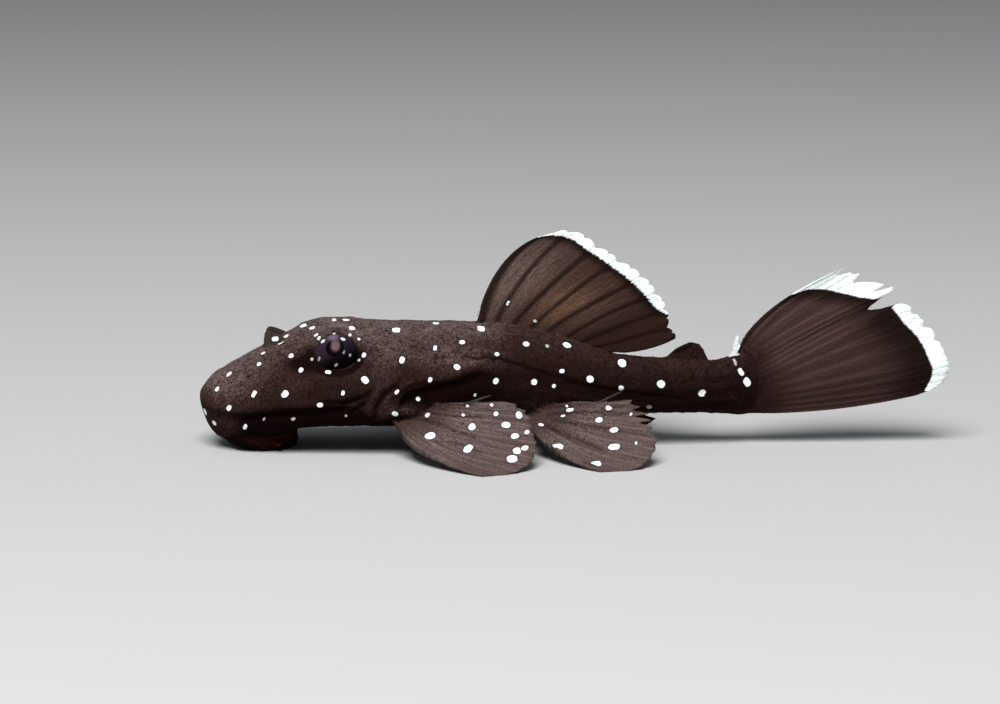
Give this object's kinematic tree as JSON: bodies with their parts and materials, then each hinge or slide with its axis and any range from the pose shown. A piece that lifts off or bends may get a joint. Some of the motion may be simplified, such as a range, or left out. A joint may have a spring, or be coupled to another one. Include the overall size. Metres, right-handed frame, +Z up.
{
  "type": "juvenile white-seamed bristlenose pleco",
  "caption": "Life-size still model of a young armoured sucker-mouth catfish resting on its mouth disc and spread paired fins, with dorsal, adipose, anal and fan-shaped tail fins.",
  "frame": {"origin": "on the floor under the middle of the fish's box, halfway along its length and on its middle plane", "axes": "+Z up, the fish lies along X with its snout towards -X and its tail fin towards +X, and its left flank faces -Y"},
  "size_m": [0.06, 0.0296, 0.0173],
  "materials": {
    "head_skin": "dark brown skin over bony plates, velvety, with white spots",
    "body_skin": "very dark brown plates with fine raised grains, velvety, with white spots",
    "lip_skin": "soft dark red-brown lip skin with low pimples",
    "fin_skin": "brown rays and lighter webs, with white seams on the dorsal and tail fins",
    "eye": "wet black with a violet sheen"
  },
  "bodies": {
    "root": {"head": "head_skin", "trunk": "body_skin", "tail": "body_skin", "lips": "lip_skin", "eye_left": "eye", "eye_right": "eye", "nostril_flap_left": "head_skin", "nostril_flap_right": "head_skin", "dorsal_fin": "fin_skin", "adipose_fin": "fin_skin", "caudal_fin": "fin_skin", "anal_fin": "fin_skin", "pectoral_fin_left": "fin_skin", "pectoral_fin_right": "fin_skin", "pelvic_fin_left": "fin_skin", "pelvic_fin_right": "fin_skin"}
  },
  "joints": []
}
